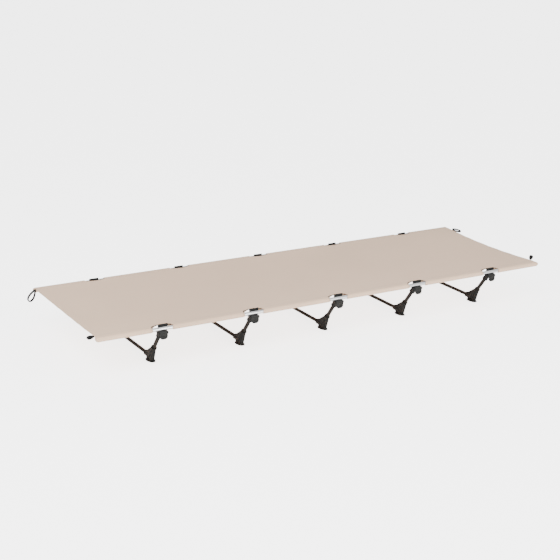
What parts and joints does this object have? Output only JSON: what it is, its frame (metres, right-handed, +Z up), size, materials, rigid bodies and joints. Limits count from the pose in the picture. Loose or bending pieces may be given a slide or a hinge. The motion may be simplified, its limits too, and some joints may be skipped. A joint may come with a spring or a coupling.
{
  "type": "camping cot",
  "caption": "Low pack-down camping cot: a taut fabric bed sleeved over tube rails, carried by clip-on legs with cam latches.",
  "frame": {"origin": "on the ground under the middle of the bed", "axes": "+X along the bed and its rails, -Y towards the front rail, +Z up"},
  "size_m": [1.9465, 0.6302, 0.1752],
  "materials": {
    "cot_fabric": "taut woven polyester, sand beige, matt",
    "rail_aluminium": "satin anodised silver",
    "leg_tube": "dark anodised, satin",
    "black_plastic": "moulded, fine texture",
    "latch_plastic": "moulded, dark grey",
    "black_webbing": "woven webbing"
  },
  "bodies": {
    "bed": {"fabric": "cot_fabric", "front_rail_section_1": "rail_aluminium", "front_rail_section_2": "rail_aluminium", "front_rail_section_3": "rail_aluminium", "front_rail_section_4": "rail_aluminium", "front_rail_section_5": "rail_aluminium", "back_rail_section_1": "rail_aluminium", "back_rail_section_2": "rail_aluminium", "back_rail_section_3": "rail_aluminium", "back_rail_section_4": "rail_aluminium", "back_rail_section_5": "rail_aluminium"},
    "leg_1": {"leg_1_cross_rod": "leg_tube", "leg_1_front_foot_hub": "black_plastic", "leg_1_front_strut": "leg_tube", "leg_1_front_rail_clip": "black_plastic", "leg_1_back_foot_hub": "black_plastic", "leg_1_back_strut": "leg_tube", "leg_1_back_rail_clip": "black_plastic"},
    "leg_1_front_latch": {"leg_1_front_latch": "latch_plastic"},
    "leg_1_back_latch": {"leg_1_back_latch": "latch_plastic"},
    "leg_2": {"leg_2_cross_rod": "leg_tube", "leg_2_front_foot_hub": "black_plastic", "leg_2_front_strut": "leg_tube", "leg_2_front_rail_clip": "black_plastic", "leg_2_back_foot_hub": "black_plastic", "leg_2_back_strut": "leg_tube", "leg_2_back_rail_clip": "black_plastic"},
    "leg_2_front_latch": {"leg_2_front_latch": "latch_plastic"},
    "leg_2_back_latch": {"leg_2_back_latch": "latch_plastic"},
    "leg_3": {"leg_3_cross_rod": "leg_tube", "leg_3_front_foot_hub": "black_plastic", "leg_3_front_strut": "leg_tube", "leg_3_front_rail_clip": "black_plastic", "leg_3_back_foot_hub": "black_plastic", "leg_3_back_strut": "leg_tube", "leg_3_back_rail_clip": "black_plastic"},
    "leg_3_front_latch": {"leg_3_front_latch": "latch_plastic"},
    "leg_3_back_latch": {"leg_3_back_latch": "latch_plastic"},
    "leg_4": {"leg_4_cross_rod": "leg_tube", "leg_4_front_foot_hub": "black_plastic", "leg_4_front_strut": "leg_tube", "leg_4_front_rail_clip": "black_plastic", "leg_4_back_foot_hub": "black_plastic", "leg_4_back_strut": "leg_tube", "leg_4_back_rail_clip": "black_plastic"},
    "leg_4_front_latch": {"leg_4_front_latch": "latch_plastic"},
    "leg_4_back_latch": {"leg_4_back_latch": "latch_plastic"},
    "leg_5": {"leg_5_cross_rod": "leg_tube", "leg_5_front_foot_hub": "black_plastic", "leg_5_front_strut": "leg_tube", "leg_5_front_rail_clip": "black_plastic", "leg_5_back_foot_hub": "black_plastic", "leg_5_back_strut": "leg_tube", "leg_5_back_rail_clip": "black_plastic"},
    "leg_5_front_latch": {"leg_5_front_latch": "latch_plastic"},
    "leg_5_back_latch": {"leg_5_back_latch": "latch_plastic"},
    "front_left_pull_loop": {"front_left_pull_loop": "black_webbing"},
    "back_left_pull_loop": {"back_left_pull_loop": "black_webbing"},
    "front_right_pull_loop": {"front_right_pull_loop": "black_webbing"},
    "back_right_pull_loop": {"back_right_pull_loop": "black_webbing"}
  },
  "joints": [
    {"name": "leg_1_release", "type": "slide", "parent": "bed", "child": "leg_1", "axis": [0, 0, -1], "range_m": [0, 0.16]},
    {"name": "leg_1_front_latch_flip", "type": "hinge", "parent": "leg_1", "child": "leg_1_front_latch", "pos_m": [-0.708, -0.309, 0.1355], "axis": [-1, 0, 0], "range_deg": [0, 100]},
    {"name": "leg_1_back_latch_flip", "type": "hinge", "parent": "leg_1", "child": "leg_1_back_latch", "pos_m": [-0.708, 0.309, 0.1355], "axis": [1, 0, 0], "range_deg": [0, 100]},
    {"name": "leg_2_release", "type": "slide", "parent": "bed", "child": "leg_2", "axis": [0, 0, -1], "range_m": [0, 0.16]},
    {"name": "leg_2_front_latch_flip", "type": "hinge", "parent": "leg_2", "child": "leg_2_front_latch", "pos_m": [-0.354, -0.309, 0.1355], "axis": [-1, 0, 0], "range_deg": [0, 100]},
    {"name": "leg_2_back_latch_flip", "type": "hinge", "parent": "leg_2", "child": "leg_2_back_latch", "pos_m": [-0.354, 0.309, 0.1355], "axis": [1, 0, 0], "range_deg": [0, 100]},
    {"name": "leg_3_release", "type": "slide", "parent": "bed", "child": "leg_3", "axis": [0, 0, -1], "range_m": [0, 0.16]},
    {"name": "leg_3_front_latch_flip", "type": "hinge", "parent": "leg_3", "child": "leg_3_front_latch", "pos_m": [0, -0.309, 0.1355], "axis": [-1, 0, 0], "range_deg": [0, 100]},
    {"name": "leg_3_back_latch_flip", "type": "hinge", "parent": "leg_3", "child": "leg_3_back_latch", "pos_m": [0, 0.309, 0.1355], "axis": [1, 0, 0], "range_deg": [0, 100]},
    {"name": "leg_4_release", "type": "slide", "parent": "bed", "child": "leg_4", "axis": [0, 0, -1], "range_m": [0, 0.16]},
    {"name": "leg_4_front_latch_flip", "type": "hinge", "parent": "leg_4", "child": "leg_4_front_latch", "pos_m": [0.354, -0.309, 0.1355], "axis": [-1, 0, 0], "range_deg": [0, 100]},
    {"name": "leg_4_back_latch_flip", "type": "hinge", "parent": "leg_4", "child": "leg_4_back_latch", "pos_m": [0.354, 0.309, 0.1355], "axis": [1, 0, 0], "range_deg": [0, 100]},
    {"name": "leg_5_release", "type": "slide", "parent": "bed", "child": "leg_5", "axis": [0, 0, -1], "range_m": [0, 0.16]},
    {"name": "leg_5_front_latch_flip", "type": "hinge", "parent": "leg_5", "child": "leg_5_front_latch", "pos_m": [0.708, -0.309, 0.1355], "axis": [-1, 0, 0], "range_deg": [0, 100]},
    {"name": "leg_5_back_latch_flip", "type": "hinge", "parent": "leg_5", "child": "leg_5_back_latch", "pos_m": [0.708, 0.309, 0.1355], "axis": [1, 0, 0], "range_deg": [0, 100]},
    {"name": "front_left_loop_flop", "type": "hinge", "parent": "bed", "child": "front_left_pull_loop", "pos_m": [-0.94697, -0.282, 0.1562], "axis": [0, -1, 0], "range_deg": [-88, 72]},
    {"name": "back_left_loop_flop", "type": "hinge", "parent": "bed", "child": "back_left_pull_loop", "pos_m": [-0.94697, 0.282, 0.1562], "axis": [0, -1, 0], "range_deg": [-137, 23]},
    {"name": "front_right_loop_flop", "type": "hinge", "parent": "bed", "child": "front_right_pull_loop", "pos_m": [0.94314, -0.264, 0.1562], "axis": [0, 1, 0], "range_deg": [-12, 148]},
    {"name": "back_right_loop_flop", "type": "hinge", "parent": "bed", "child": "back_right_pull_loop", "pos_m": [0.94086, 0.232, 0.1562], "axis": [0, 1, 0], "range_deg": [-60, 60]}
  ]
}
